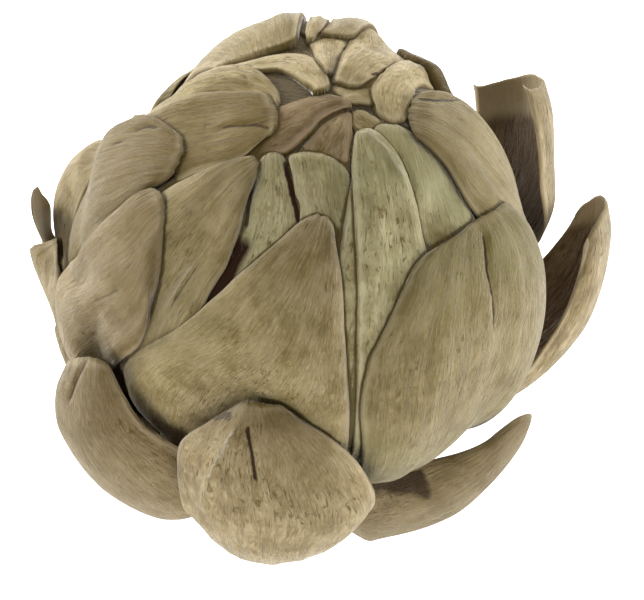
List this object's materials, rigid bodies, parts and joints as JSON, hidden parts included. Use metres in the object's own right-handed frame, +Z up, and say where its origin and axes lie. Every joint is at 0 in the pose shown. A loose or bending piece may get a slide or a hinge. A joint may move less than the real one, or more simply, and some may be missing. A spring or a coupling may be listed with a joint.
{
  "type": "globe artichoke head",
  "caption": "Drying globe artichoke head with overlapping olive-tan bracts round a closed bud, standing on a cut stem stub.",
  "frame": {"origin": "centre of the flat cut underside of the stem stub, which the head stands on", "axes": "+Z up along the head's axis to the tip of the bud, -Y towards the side that faces the viewer, +X to the viewer's right"},
  "size_m": [0.0848, 0.0783, 0.0775],
  "materials": {
    "bract_olive": "matt, dull olive with fine long fibres",
    "bract_tan": "matt, drying tan with pale fibres",
    "bud_green": "matt, pale green to olive with fine long fibres",
    "stem_cut": "dry, fibrous cut"
  },
  "bodies": {
    "root": {"bud": "bud_green", "stem": "stem_cut", "bract_back_01": "bract_olive", "bract_back_02": "bract_olive", "bract_back_03": "bract_olive", "bract_back_04": "bract_olive", "bract_back_05": "bract_olive", "bract_back_06": "bract_olive", "bract_back_07": "bract_olive", "bract_back_08": "bract_olive", "bract_back_09": "bract_olive", "bract_back_10": "bract_olive", "bract_back_11": "bract_olive", "bract_right_upper": "bract_olive", "bract_left_inner": "bract_olive", "bract_front_centre": "bract_olive", "bract_left_upper": "bract_olive", "bract_right_front": "bract_olive", "bract_left_front": "bract_olive", "bract_left_behind": "bract_olive", "bract_left_spike": "bract_olive", "bract_left_edge": "bract_olive", "bract_left_low_tip": "bract_olive", "bract_low_left": "bract_tan", "bract_low_right": "bract_tan", "bract_low_front": "bract_tan", "bract_back_right": "bract_tan", "bract_far_right": "bract_tan"}
  },
  "joints": []
}
